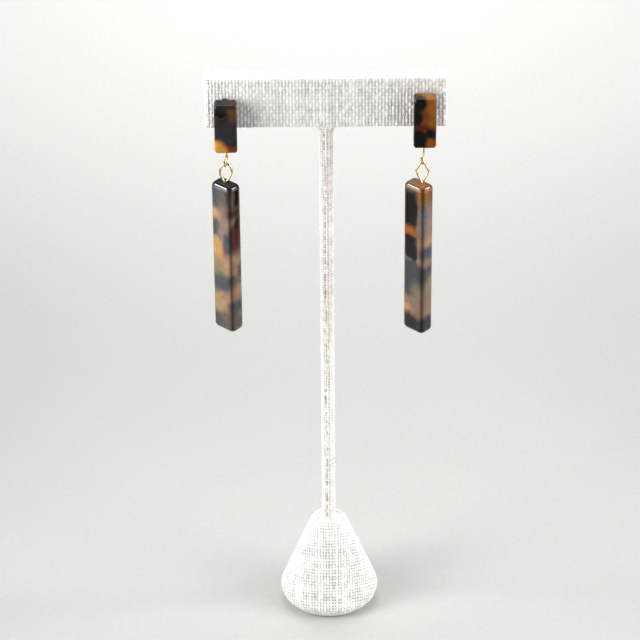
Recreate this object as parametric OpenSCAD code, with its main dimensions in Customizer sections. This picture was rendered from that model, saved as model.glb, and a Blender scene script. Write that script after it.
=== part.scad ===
// A pair of bar drop earrings, hung by their posts on a linen-covered T stand.
// Millimetres. The origin is the centre of the base's underside, +Z is up, the crossbar
// runs along X, and the earrings hang on the -Y side, which is the front.

/* [Stand base] */
// Widest diameter of the base
base_d = 26.9; // [24:0.1:34]
// Height of the base
base_h = 26.5; // [22:0.5:34]
// Diameter of the flat top of the base, inside its shoulder
base_top_d = 6.4; // [5:0.1:9]
// Radius of the shoulder round the top
shoulder_r = 2; // [1.7:0.1:3]
// Radius of the rounded foot
foot_r = 3.4; // [2:0.1:5]
// Thickness of the linen on the base
linen_t = 1; // [0.6:0.1:1.4]
// Depth of the stem's socket, from the top of the base
socket_depth = 14; // [8:1:18]

/* [Stem] */
// Diameter of the wrapped stem
stem_d = 3.7; // [3:0.1:4.5]
// Diameter of the stem's tip inside the crossbar
stem_tip_d = 2.4; // [1.6:0.1:2.8]
// Length of the stem's tip inside the crossbar
stem_tip_len = 7; // [4:0.5:9]
// Width of the flare under the crossbar
flare_w = 7.4; // [5:0.1:10]
// Height of the flare under the crossbar
flare_h = 3.3; // [2:0.1:6]

/* [Crossbar] */
// Height of the whole stand
stand_h = 166; // [130:1:200]
// Length of the crossbar
crossbar_len = 62; // [58:1:80]
// Height of the crossbar
crossbar_h = 14.5; // [12:0.5:20]
// Thickness of the crossbar, front to back
crossbar_t = 5; // [5:0.1:8]
// Radius of the crossbar's edges
crossbar_edge_r = 0.6; // [0.3:0.1:0.6]

/* [Studs] */
// Width of a stud's bar
stud_w = 5.8; // [5:0.1:8]
// Height of the left stud's bar
left_stud_h = 14; // [10:0.1:18]
// Height of the right stud's bar
right_stud_h = 14.4; // [10:0.1:18]
// Thickness of a stud's bar
stud_t = 4.2; // [3:0.1:5]
// Radius of a stud's edges and corners
stud_edge_r = 0.8; // [0.3:0.1:1]
// Left stud's centre, in from the crossbar's left end
left_stud_inset = 5.3; // [4:0.1:12]
// Right stud's centre, in from the crossbar's right end
right_stud_inset = 5.7; // [4:0.1:12]

/* [Ear posts] */
// Diameter of a post
post_d = 0.8; // [0.6:0.05:1]
// Length of a post behind its pad
post_len = 10.5; // [8:0.5:12]
// Diameter of the pad behind a stud
pad_d = 2; // [1.6:0.1:3]
// Thickness of the pad
pad_t = 0.4; // [0.2:0.05:1]
// Distance of the left post below its stud's top
left_post_drop = 1.1; // [1:0.1:6]
// Distance of the right post below its stud's top
right_post_drop = 1.8; // [1:0.1:6]
// Height of the left post above the crossbar's middle
left_post_up = 0.8; // [-3:0.1:3]
// Height of the right post above the crossbar's middle
right_post_up = 1.5; // [-3:0.1:3]

/* [Wire eyes] */
// Diameter of the wire
wire_d = 0.6; // [0.5:0.05:0.8]
// Outside width of an eye
eye_w = 3.6; // [3.4:0.1:5]
// Bend radius of the wire at an eye's widest place
eye_side_r = 0.8; // [0.5:0.05:1]
// Length of the wire's shank inside a bar
shank_len = 4; // [2:0.5:6]
// Left stud's eye, from the bar's end to its outer end
left_stud_eye_len = 5; // [5:0.1:8]
// Right stud's eye, from the bar's end to its outer end
right_stud_eye_len = 5.8; // [5:0.1:8]
// Left drop's eye, from the bar's end to its outer end
left_drop_eye_len = 5.8; // [5:0.1:8]
// Right drop's eye, from the bar's end to its outer end
right_drop_eye_len = 6.6; // [5:0.1:8]
// Distance from a left eye's outer end to its widest place
left_eye_widest_at = 2.3; // [2.2:0.1:3]
// Distance from a right eye's outer end to its widest place
right_eye_widest_at = 2.8; // [2.2:0.1:3]
// Bend radius at the outer end of the left eyes
left_crown_r = 1.15; // [0.85:0.05:1.2]
// Bend radius at the outer end of the right eyes
right_crown_r = 0.85; // [0.85:0.05:1.2]
// Left eyes' place across the stud, right of its middle
left_eye_shift = -0.2; // [-1.5:0.1:1.5]
// Right eyes' place across the stud, right of its middle
right_eye_shift = -0.5; // [-1.5:0.1:1.5]

/* [Drops] */
// Width of a drop's bar, its wide faces
drop_w = 7.1; // [5:0.1:9]
// Thickness of a drop's bar, its narrow faces
drop_t = 4.7; // [4:0.1:6]
// Length of the left drop's bar
left_drop_len = 44.6; // [30:0.1:60]
// Length of the right drop's bar
right_drop_len = 45; // [30:0.1:60]
// Radius of a drop's edges and corners
drop_edge_r = 1.3; // [0.5:0.1:1.6]
// Left drop's turn about its own length, in degrees
left_drop_turn = 42; // [0:1:60]
// Right drop's turn about its own length, in degrees
right_drop_turn = 43; // [0:1:60]
// Left bar's middle, right of its eye
left_drop_shift = -0.2; // [-1:0.1:1]
// Right bar's middle, right of its eye
right_drop_shift = -0.9; // [-1:0.1:1]

/* [Clearances] */
// Gap between pieces that fit or seat together
fit_gap = 0.05; // [0.03:0.01:0.1]

/* [Hidden] */
$fn = 64;

LINEN = "#ebe8e1";
IRON = "#4b4d50";
STEEL = "#b9bcc0";
GOLD = "#d9a860";
TORTOISESHELL = "#4a2f1e";

wire_r = wire_d / 2;
join_len = 0.05;
join_step = 0.005;
crossbar_z = stand_h - crossbar_h / 2;
crossbar_bottom = stand_h - crossbar_h;
// Everything on a post sits one behind the other, from the crossbar's front face forwards
pad_back_y = -crossbar_t / 2 - fit_gap;
stud_back_y = pad_back_y - pad_t - fit_gap;
hang_y = stud_back_y - stud_t / 2;

// One row for each earring
SIDE_X = 0;           // the stud's middle
SIDE_POST_UP = 1;     // the post above the crossbar's middle
SIDE_POST_DROP = 2;   // the post below the stud's top
SIDE_STUD_H = 3;      // height of the stud's bar
SIDE_STUD_EYE = 4;    // the stud's eye, from the bar's end to its outer end
SIDE_DROP_EYE = 5;    // the drop's eye, from the bar's end to its outer end
SIDE_WIDEST_AT = 6;   // the eyes' widest place, from their outer end
SIDE_CROWN_R = 7;     // bend radius at the eyes' outer end
SIDE_EYE_SHIFT = 8;   // the eyes, right of the stud's middle
SIDE_DROP_LEN = 9;    // length of the drop's bar
SIDE_DROP_SHIFT = 10; // the drop's bar, right of its eye
SIDE_DROP_TURN = 11;  // the drop's turn about its own length
left = [left_stud_inset - crossbar_len / 2, left_post_up, left_post_drop, left_stud_h,
    left_stud_eye_len, left_drop_eye_len, left_eye_widest_at, left_crown_r, left_eye_shift,
    left_drop_len, left_drop_shift, left_drop_turn];
right = [crossbar_len / 2 - right_stud_inset, right_post_up, right_post_drop, right_stud_h,
    right_stud_eye_len, right_drop_eye_len, right_eye_widest_at, right_crown_r, right_eye_shift,
    right_drop_len, right_drop_shift, right_drop_turn];

// Heights down one earring, each worked out from the one above it
function post_z(side) = crossbar_z + side[SIDE_POST_UP];
function stud_top_z(side) = post_z(side) + side[SIDE_POST_DROP];
function stud_end_z(side) = stud_top_z(side) - side[SIDE_STUD_H];
function stud_eye_end_z(side) = stud_end_z(side) - side[SIDE_STUD_EYE];
// The drop's wire lies on the stud's wire, one wire higher
function swing_z(side) = stud_eye_end_z(side) + wire_r + wire_d + fit_gap;
function drop_top_z(side) = swing_z(side) + wire_r - side[SIDE_DROP_EYE];
function eye_x(side) = side[SIDE_X] + side[SIDE_EYE_SHIFT];

// Direction, in degrees, square to the outer tangent line from circle a to circle b.
// A circle is [x, y, radius], and b lies to the right of a and below it.
function tangent_angle(a, b) =
    let (dx = b[0] - a[0], dy = a[1] - b[1])
    acos((a[2] - b[2]) / norm([dx, dy])) - atan2(dy, dx);
// The point of a circle that lies in a direction
function rim(c, angle) = [c[0] + c[2] * cos(angle), c[1] + c[2] * sin(angle)];

// A rectangle with rounded corners, centred
module rounded_rect(w, h, r) {
    square([w - 2 * r, h], center = true);
    square([w, h - 2 * r], center = true);
    for (x = [-1, 1], y = [-1, 1])
        translate([x * (w / 2 - r), y * (h / 2 - r)]) circle(r);
}

// A centred block of w along X, t along Y and h along Z, with its edges and corners
// rounded by r. Three slabs cross in it, and a ball closes each corner.
module soft_block(w, t, h, r) {
    rotate([90, 0, 0]) linear_extrude(t - 2 * r, center = true) rounded_rect(w, h, r);
    rotate([90, 0, 90]) linear_extrude(w - 2 * r, center = true) rounded_rect(t, h, r);
    linear_extrude(h - 2 * r, center = true) rounded_rect(w, t, r);
    for (x = [-1, 1], y = [-1, 1], z = [-1, 1])
        translate([x * (w / 2 - r), y * (t / 2 - r), z * (h / 2 - r)]) sphere(r);
}

// Half of the base's outline, taken in by a depth: two circles, for the foot and the
// shoulder, and their tangent line
module base_outline(inset) {
    shoulder = [base_top_d / 2, base_h - shoulder_r, shoulder_r - inset];
    foot = [base_d / 2 - foot_r, foot_r, foot_r - inset];
    side = tangent_angle(shoulder, foot);
    translate([shoulder[0], shoulder[1]]) circle(shoulder[2]);
    translate([foot[0], foot[1]]) circle(foot[2]);
    polygon([
        [0, inset], [foot[0], inset], rim(foot, side),
        rim(shoulder, side), [shoulder[0], base_h - inset], [0, base_h - inset]
    ]);
}

// The part of the base's outline outside the stem's hole
module right_of_axis(inset) {
    intersection() {
        base_outline(inset);
        square([base_d, base_h]);
    }
}

module stem_hole() {
    translate([0, 0, base_h - socket_depth])
        cylinder(d = stem_d + 2 * fit_gap, h = socket_depth + 1);
}

module base_cover() {
    color(LINEN) difference() {
        rotate_extrude() right_of_axis(0);
        rotate_extrude() right_of_axis(linen_t);
        stem_hole();
    }
}

module base_weight() {
    color(IRON) difference() {
        rotate_extrude() right_of_axis(linen_t + fit_gap);
        stem_hole();
    }
}

// The flare's outline is a hollow arc that leaves the stem's side without a corner
module stem_flare() {
    out = (flare_w - stem_d) / 2;
    arc_r = (out * out + flare_h * flare_h) / (2 * out);
    flare_t = max(stem_d, crossbar_t - 2 * crossbar_edge_r);
    intersection() {
        rotate_extrude() difference() {
            square([flare_w / 2, flare_h]);
            translate([stem_d / 2 + arc_r, 0]) circle(arc_r);
        }
        translate([-flare_w, -flare_t / 2, 0]) cube([2 * flare_w, flare_t, flare_h]);
    }
}

module stem() {
    bottom = base_h - socket_depth + fit_gap;
    top = crossbar_bottom - fit_gap;
    color(LINEN) {
        translate([0, 0, bottom]) cylinder(d = stem_d, h = top - bottom);
        translate([0, 0, top - flare_h]) stem_flare();
        translate([0, 0, top - flare_h]) cylinder(d = stem_tip_d, h = flare_h + stem_tip_len);
    }
}

module crossbar() {
    color(LINEN) difference() {
        translate([0, 0, crossbar_z])
            soft_block(crossbar_len, crossbar_t, crossbar_h, crossbar_edge_r);
        translate([0, 0, crossbar_bottom - 1])
            cylinder(d = stem_tip_d + 2 * fit_gap, h = stem_tip_len + 1);
        for (side = [left, right])
            translate([side[SIDE_X], 0, post_z(side)]) rotate([90, 0, 0])
                cylinder(d = post_d + 2 * fit_gap, h = crossbar_t + 2, center = true);
    }
}

// A bore for an eye's shank in the top of a bar, at the origin
module shank_bore() {
    translate([0, 0, -shank_len - fit_gap])
        cylinder(d = wire_d + 2 * fit_gap, h = shank_len + fit_gap + 1);
}

module stud_bar(side) {
    color(TORTOISESHELL) difference() {
        translate([side[SIDE_X], hang_y, stud_top_z(side) - side[SIDE_STUD_H] / 2])
            soft_block(stud_w, stud_t, side[SIDE_STUD_H], stud_edge_r);
        translate([eye_x(side), hang_y, stud_end_z(side)]) rotate([180, 0, 0]) shank_bore();
    }
}

// The pad and its post are turned as one, with a round tip
module ear_post(side) {
    tip = [0, pad_t + post_len - post_d / 2];
    color(STEEL) translate([side[SIDE_X], pad_back_y - pad_t, post_z(side)])
        rotate([-90, 0, 0]) rotate_extrude() {
            square([pad_d / 2, pad_t]);
            square([post_d / 2, tip[1]]);
            intersection() {
                translate(tip) circle(d = post_d);
                translate(tip) square(post_d);
            }
        }
}

// Straight wire between two points of the XZ plane. It is a hair thinner than a bend and
// runs on into it at both ends, so that the two join without a seam.
module straight_wire(a, b) {
    translate([a[0], 0, a[1]]) rotate([0, atan2(b[0] - a[0], b[1] - a[1]), 0])
        translate([0, 0, -join_len]) cylinder(r = wire_r - join_step, h = norm(b - a) + 2 * join_len);
}

// Wire bent round a circle of the XZ plane, from one direction to another
module bent_wire(c, from, to) {
    translate([c[0], 0, c[1]]) rotate([90, 0, 0]) rotate([0, 0, from])
        rotate_extrude(angle = to - from) translate([c[2], 0]) circle(wire_r);
}

// An eye of a given length that stands up from the origin: its wire leaves the bar's end,
// spreads, bends in at the widest place and closes over the top
module wire_eye(side, len) {
    crown = [0, len - wire_r - side[SIDE_CROWN_R], side[SIDE_CROWN_R]];
    widest = [eye_w / 2 - wire_r - eye_side_r, len - side[SIDE_WIDEST_AT], eye_side_r];
    foot = [0, wire_r, 0];
    upper = tangent_angle(crown, widest);
    lower = -tangent_angle([foot[0], -foot[1], foot[2]], [widest[0], -widest[1], widest[2]]);
    bent_wire(crown, upper, 180 - upper);
    for (m = [0, 1]) mirror([m, 0, 0]) {
        straight_wire(rim(crown, upper), rim(widest, upper));
        bent_wire(widest, lower, upper);
        straight_wire([foot[0], foot[1]], rim(widest, lower));
    }
    translate([0, 0, -shank_len]) cylinder(r = wire_r, h = shank_len + foot[1]);
    translate([0, 0, foot[1]]) sphere(r = wire_r);
}

module stud_eye(side) {
    color(GOLD) translate([eye_x(side), hang_y, stud_end_z(side)])
        rotate([180, 0, 90]) wire_eye(side, side[SIDE_STUD_EYE]);
}

module drop_eye(side) {
    color(GOLD) translate([eye_x(side), hang_y, drop_top_z(side)])
        wire_eye(side, side[SIDE_DROP_EYE]);
}

module drop_bar(side) {
    color(TORTOISESHELL) translate([eye_x(side), hang_y, drop_top_z(side)]) difference() {
        translate([side[SIDE_DROP_SHIFT], 0, -side[SIDE_DROP_LEN] / 2])
            rotate([0, 0, -side[SIDE_DROP_TURN]])
                soft_block(drop_w, drop_t, side[SIDE_DROP_LEN], drop_edge_r);
        shank_bore();
    }
}

base_weight();
base_cover();
stem();
crossbar();
stud_bar(left);  // left_stud_bar
ear_post(left);  // left_ear_post
stud_eye(left);  // left_stud_eye
drop_eye(left);  // left_drop_eye
drop_bar(left);  // left_drop_bar
stud_bar(right);  // right_stud_bar
ear_post(right);  // right_ear_post
stud_eye(right);  // right_stud_eye
drop_eye(right);  // right_drop_eye
drop_bar(right);  // right_drop_bar
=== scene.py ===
# A pair of tortoiseshell bar drop earrings, hung by their posts on a small linen-covered T stand.
# The frame is the CAD model's: metres, +Z up, the crossbar along X, the earrings on the -Y side.
import math

import bpy
import numpy as np
from mathutils import Matrix, Vector, noise


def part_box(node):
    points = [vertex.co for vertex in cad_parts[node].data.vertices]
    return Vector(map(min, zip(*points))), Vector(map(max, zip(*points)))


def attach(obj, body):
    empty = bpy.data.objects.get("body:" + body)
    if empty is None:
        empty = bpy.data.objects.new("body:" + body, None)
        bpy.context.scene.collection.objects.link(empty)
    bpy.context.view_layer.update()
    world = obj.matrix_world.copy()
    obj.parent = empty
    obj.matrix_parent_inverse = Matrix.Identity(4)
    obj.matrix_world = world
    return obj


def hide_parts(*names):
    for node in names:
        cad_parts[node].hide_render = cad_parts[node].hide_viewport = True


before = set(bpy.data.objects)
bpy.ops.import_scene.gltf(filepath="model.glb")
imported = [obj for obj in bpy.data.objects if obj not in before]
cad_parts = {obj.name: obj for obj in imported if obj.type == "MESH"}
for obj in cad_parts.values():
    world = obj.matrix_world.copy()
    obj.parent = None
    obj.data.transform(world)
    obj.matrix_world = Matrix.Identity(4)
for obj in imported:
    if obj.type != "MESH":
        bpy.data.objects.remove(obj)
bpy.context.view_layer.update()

mm = 0.001


def linear(hexColour):
    parts = [int(hexColour[i:i + 2], 16) / 255 for i in (1, 3, 5)]
    return tuple(c / 12.92 if c <= 0.04045 else ((c + 0.055) / 1.055) ** 2.4 for c in parts) + (1.0,)


# Adds a node: settings are its properties, links its inputs, each a value, a socket or another node.
# A shader node's kind goes without its prefix.
def addNode(tree, kind, links=None, stops=None, **settings):
    node = tree.nodes.new(kind if "Node" in kind else "ShaderNode" + kind)
    for name, value in settings.items():
        setattr(node, name, value)
    for name, value in (links or {}).items():
        if isinstance(value, bpy.types.Node):
            value = value.outputs[0]
        if isinstance(value, bpy.types.NodeSocket):
            tree.links.new(value, node.inputs[name])
        else:
            node.inputs[name].default_value = value
    for n, (place, colour) in enumerate(stops or []):
        ramp = node.color_ramp.elements
        stop = ramp[n] if n < 2 else ramp.new(place)
        stop.position, stop.color = place, colour
    return node


def newMaterial(name):
    material = bpy.data.materials.new(name)
    material.use_nodes = True
    material.node_tree.nodes.clear()
    return material, material.node_tree


# A mesh object with its points in metres
def newObject(name, points, faces, edges=()):
    mesh = bpy.data.meshes.new(name)
    mesh.from_pydata(np.asarray(points, float).tolist(), list(edges), [[int(n) for n in face] for face in faces])
    mesh.shade_smooth()
    obj = bpy.data.objects.new(name, mesh)
    bpy.context.scene.collection.objects.link(obj)
    return obj


# Keeps a value for each point of a mesh, for a material or a node tree to read
def keepOnPoints(obj, name, kind, values):
    key = {"FLOAT": "value", "FLOAT_VECTOR": "vector", "FLOAT_COLOR": "color"}[kind]
    layer = obj.data.attributes.new(name, kind, "POINT")
    layer.data.foreach_set(key, np.asarray(values, np.float32).ravel())


# A new Geometry Nodes tree with a named input for each size, and the geometry that comes in
def newShaper(name, inputs):
    tree = bpy.data.node_groups.new(name, "GeometryNodeTree")
    tree.interface.new_socket("Geometry", in_out="INPUT", socket_type="NodeSocketGeometry")
    for label, (kind, value) in inputs.items():
        socket = tree.interface.new_socket(label, in_out="INPUT", socket_type="NodeSocket" + kind)
        if value is not None:
            socket.default_value = value
    tree.interface.new_socket("Geometry", in_out="OUTPUT", socket_type="NodeSocketGeometry")
    return tree, addNode(tree, "NodeGroupInput").outputs


# Runs a Geometry Nodes tree on an object and returns the result as a plain mesh object
def shapeWith(tree, source, name, values):
    modifier = source.modifiers.new("shape", "NODES")
    modifier.node_group = tree
    for socket in tree.interface.items_tree:
        if socket.item_type == "SOCKET" and socket.in_out == "INPUT" and socket.name in values:
            modifier[socket.identifier] = values[socket.name]
    depsgraph = bpy.context.evaluated_depsgraph_get()
    mesh = bpy.data.meshes.new_from_object(source.evaluated_get(depsgraph), depsgraph=depsgraph)
    source.modifiers.remove(modifier)
    mesh.name = name
    made = bpy.data.objects.new(name, mesh)
    bpy.context.scene.collection.objects.link(made)
    made.data.shade_smooth()
    return made


# The camera, at the photograph's angle: 33 degrees down, turned half a degree about its own line of sight
cameraSpec = {"place": (-1.97, -783.53, 599.85), "down": 33.0, "roll": -0.5, "lens": 196.875}
camera = bpy.data.objects.new("camera", bpy.data.cameras.new("camera"))
camera.data.lens = cameraSpec["lens"]
camera.data.sensor_width = 36
camera.data.clip_start, camera.data.clip_end = 0.05, 20
aim = Matrix.Rotation(math.radians(90 - cameraSpec["down"]), 4, "X")
turn = Matrix.Rotation(math.radians(cameraSpec["roll"]), 4, "Z")
camera.matrix_world = Matrix.Translation(Vector(cameraSpec["place"]) * mm) @ aim @ turn
bpy.context.scene.collection.objects.link(camera)
bpy.context.scene.camera = camera

# Soft studio light: a softbox at each side, a little in front, so that each stud throws its shadow
# inwards on the linen, a small bright strip above it for the gleam along the rounded edges, one box
# overhead and one over the floor behind. A grid on each box narrows its light to the spread, in
# degrees, and radiance is what it gives straight ahead.
lightSpec = {
    "leftBox": {"place": (-215, -98, 172), "aim": (0, 0, 77), "size": (150, 230), "spread": 92, "radiance": 10.9},
    "rightBox": {"place": (225, -76, 114), "aim": (0, 0, 22), "size": (190, 230), "spread": 92, "radiance": 6.7},
    "leftStrip": {"place": (-215, -8, 298), "aim": (0, 0, 145), "size": (40, 92), "spread": 44, "radiance": 56},
    "rightStrip": {"place": (215, 12, 290), "aim": (0, 0, 145), "size": (44, 92), "spread": 44, "radiance": 56},
    "topBox": {"place": (0, 210, 440), "aim": (0, 60, 90), "size": (400, 340), "spread": 54, "radiance": 3.7},
    "backBox": {"place": (0, 400, 430), "aim": (0, 360, 0), "size": (420, 300), "spread": 84, "radiance": 13.0},
}
# Four wide boxes high over the floor all round keep it pale a long way out; their light falls straight
# down and misses the stand
farSpec = {"out": 1300, "height": 700, "side": 1700, "spread": 76, "radiance": 4.2}
for name, sideways, ahead in (("farLeft", -1, 0), ("farRight", 1, 0), ("farFront", 0, -1), ("farBack", 0, 1)):
    under = (farSpec["out"] * sideways, farSpec["out"] * ahead)
    lightSpec[name] = {
        "place": (*under, farSpec["height"]), "aim": (*under, 0), "size": (farSpec["side"],) * 2,
        "spread": farSpec["spread"], "radiance": farSpec["radiance"]}
for name, spec in lightSpec.items():
    lamp = bpy.data.lights.new(name, "AREA")
    lamp.shape = "RECTANGLE"
    lamp.size, lamp.size_y = (side * mm for side in spec["size"])
    lamp.spread = math.radians(spec["spread"])
    narrow = 1 - lamp.spread / 2 / math.tan(lamp.spread / 2)
    lamp.energy = spec["radiance"] * narrow * math.pi * lamp.size * lamp.size_y
    box = bpy.data.objects.new(name, lamp)
    box.location = Vector(spec["place"]) * mm
    box.rotation_euler = ((Vector(spec["aim"]) - Vector(spec["place"])) * mm).to_track_quat("-Z", "Y").to_euler()
    box.visible_camera = False
    bpy.context.scene.collection.objects.link(box)
roomSpec = {"tone": "#f4f6f8", "strength": 0.3}
world = bpy.data.worlds.new("room")
world.use_nodes = True
world.node_tree.nodes["Background"].inputs["Color"].default_value = linear(roomSpec["tone"])
world.node_tree.nodes["Background"].inputs["Strength"].default_value = roomSpec["strength"]
bpy.context.scene.world = world
bpy.context.scene.view_settings.view_transform = "Standard"
print("camera and lights set")

# Painted studio floor: matt and even, so that it takes only the softest shadow
floorSpec = {"half": 3.0, "light": "#bfbfbc", "dull": "#bcbbb7", "grain": 1.5 * mm}
floorPaint, tree = newMaterial("paintedBoardMatt")
grain = addNode(tree, "TexNoise", {
    "Vector": addNode(tree, "TexCoord").outputs["Object"], "Scale": 1 / floorSpec["grain"], "Detail": 3.0})
tint = addNode(tree, "ValToRGB", {"Fac": grain.outputs["Fac"]},
               stops=[(0.3, linear(floorSpec["dull"])), (0.7, linear(floorSpec["light"]))])
paint = addNode(tree, "BsdfPrincipled", {"Base Color": tint, "Roughness": 0.85})
addNode(tree, "OutputMaterial", {"Surface": paint})
reach = floorSpec["half"]
floor = newObject("floor", [(-reach, -reach, 0), (reach, -reach, 0), (reach, reach, 0), (-reach, reach, 0)],
                  [(0, 1, 2, 3)])
floor.data.materials.append(floorPaint)

# Woven linen, washed and glued down: thick uneven threads with soft fibres, matt. Light and shade are
# painted into its colour: the crowns painted bright, the low ground and the weft greyer, and the pinholes
# where four threads meet, with the stem's seam, painted dark. Real fibres are 0.02 mm thick, too fine to
# show, so their grain is drawn at 0.2 mm. A share is how much a layer lightens or darkens the yarn.
linenSpec = {"threadPitch": 0.85, "fibreGrain": 0.2, "cloudSize": 4, "crown": "#fdfcf8", "ground": "#cbc9c4",
             "cavityShade": "#5e5a55", "threadShare": 0.25, "cloudShare": 0.3, "fibreShare": 0.35, "whole": 2.0}
linenCloth, tree = newMaterial("linenPlainWeaveGlued")
place = addNode(tree, "Attribute", attribute_name="weavePlace")
fibreGrain = addNode(tree, "TexNoise", {
    "Vector": place.outputs["Vector"], "Scale": 1 / (linenSpec["fibreGrain"] * mm), "Detail": 2.0, "Roughness": 0.6})
cloud = addNode(tree, "TexNoise", {
    "Vector": place.outputs["Vector"], "Scale": 1 / (linenSpec["cloudSize"] * mm), "Detail": 3.0})
# Painted light on the thread crowns, stored by the weave
crown = addNode(tree, "Attribute", attribute_name="crown")
shade = addNode(tree, "Attribute", attribute_name="threadShade")
mixed = crown.outputs["Fac"]
for layer, share in ((shade, "threadShare"), (cloud, "cloudShare"), (fibreGrain, "fibreShare")):
    mixed = addNode(tree, "Math", {0: layer.outputs["Fac"], 1: linenSpec[share], 2: mixed}, operation="MULTIPLY_ADD")
mixed = addNode(tree, "Math", {0: mixed, 1: linenSpec["whole"]}, operation="DIVIDE")
# The yarn is painted from the ground colour, painted shade, up to the crown colour, painted light
yarn = addNode(tree, "ValToRGB", {"Fac": mixed},
               stops=[(0.2, linear(linenSpec["ground"])), (0.72, linear(linenSpec["crown"]))])
# Painted shade: the pinholes and the stem's seam are painted dark
cavityShade = addNode(tree, "Attribute", attribute_name="cavityShade")
holed = addNode(tree, "Mix", {"Factor": cavityShade.outputs["Fac"], 6: yarn, 7: linear(linenSpec["cavityShade"])}, data_type="RGBA")
# A warm tint in patches beside the stem's lap
warmTint = addNode(tree, "Attribute", attribute_name="warmTint")
tintShare = addNode(tree, "Attribute", attribute_name="tintShare")
patchy = addNode(tree, "Math", {0: tintShare.outputs["Fac"], 1: cloud.outputs["Fac"]}, operation="MULTIPLY")
aged = addNode(tree, "Mix", {"Factor": patchy, 6: holed.outputs[2], 7: warmTint.outputs["Color"]}, data_type="RGBA")
fibreBump = addNode(tree, "Bump", {"Height": fibreGrain.outputs["Fac"], "Strength": 0.35, "Distance": 0.03 * mm})
cloth = addNode(tree, "BsdfPrincipled", {
    "Base Color": aged.outputs[2], "Roughness": 0.9, "Specular IOR Level": 0.2, "Sheen Weight": 0.25,
    "Sheen Roughness": 0.5, "Normal": fibreBump})
addNode(tree, "OutputMaterial", {"Surface": cloth})

# Raises the threads of a plain weave out of a finely gridded surface. Each point knows its place in
# the cloth, x across the upright threads, y along them, and z how much of the relief it takes.
# Wander and glue are the sizes of their patches in mm. Slub length and gap are per thread, slub gain is
# how far a slub widens the thread, and the rest are shares of a thread's radius or crimp.
weaveSpec = {"wander": 5, "glue": 2.4, "glueShut": 0.58, "glueOpen": 0.42, "warpSlub": 0.5, "weftSlub": 0.25,
             "slubLength": 0.35, "slubGap": 7.31, "slubGain": 2.2, "flank": -1.5, "bottom": -1.4, "gapFrom": 0.35,
             "crownAt": 0.8}
weaver, given = newShaper("plainWeave", {
    "Thread Pitch": ("Float", 0.85 * mm), "Warp Radius": ("Float", 0.2 * mm), "Weft Radius": ("Float", 0.13 * mm),
    "Crimp": ("Float", 0.07 * mm), "Warp Fullness": ("Float", 0.8), "Weft Fullness": ("Float", 0.7),
    "Shade Depth": ("Float", 1.0), "Gap Depth": ("Float", 1.0), "Patchiness": ("Float", 0.5),
    "Weft Shade": ("Float", 0.5), "Streak": ("Float", 0.3), "Unevenness": ("Float", 0.25), "Seed": ("Float", 1.0),
    "Material": ("Material", None)})
place = addNode(weaver, "GeometryNodeInputNamedAttribute", {"Name": "weavePlace"}, data_type="FLOAT_VECTOR")
wander = addNode(weaver, "TexNoise", {
    "Vector": place, "W": given["Seed"], "Scale": 1 / (weaveSpec["wander"] * mm), "Detail": 1.0},
    noise_dimensions="4D")
centred = addNode(weaver, "VectorMath", {0: wander.outputs["Color"], 1: (0.5, 0.5, 0.5)}, operation="SUBTRACT")
reachOf = addNode(weaver, "Math", {0: given["Thread Pitch"], 1: given["Unevenness"]}, operation="MULTIPLY")
drift = addNode(weaver, "VectorMath", {0: centred, "Scale": reachOf}, operation="SCALE")
drifted = addNode(weaver, "VectorMath", {0: place, 1: drift}, operation="ADD")
perPitch = addNode(weaver, "Math", {0: 1.0, 1: given["Thread Pitch"]}, operation="DIVIDE")
counted = addNode(weaver, "VectorMath", {0: drifted, "Scale": perPitch}, operation="SCALE")
across = addNode(weaver, "SeparateXYZ", {0: counted})
threads = {}
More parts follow.
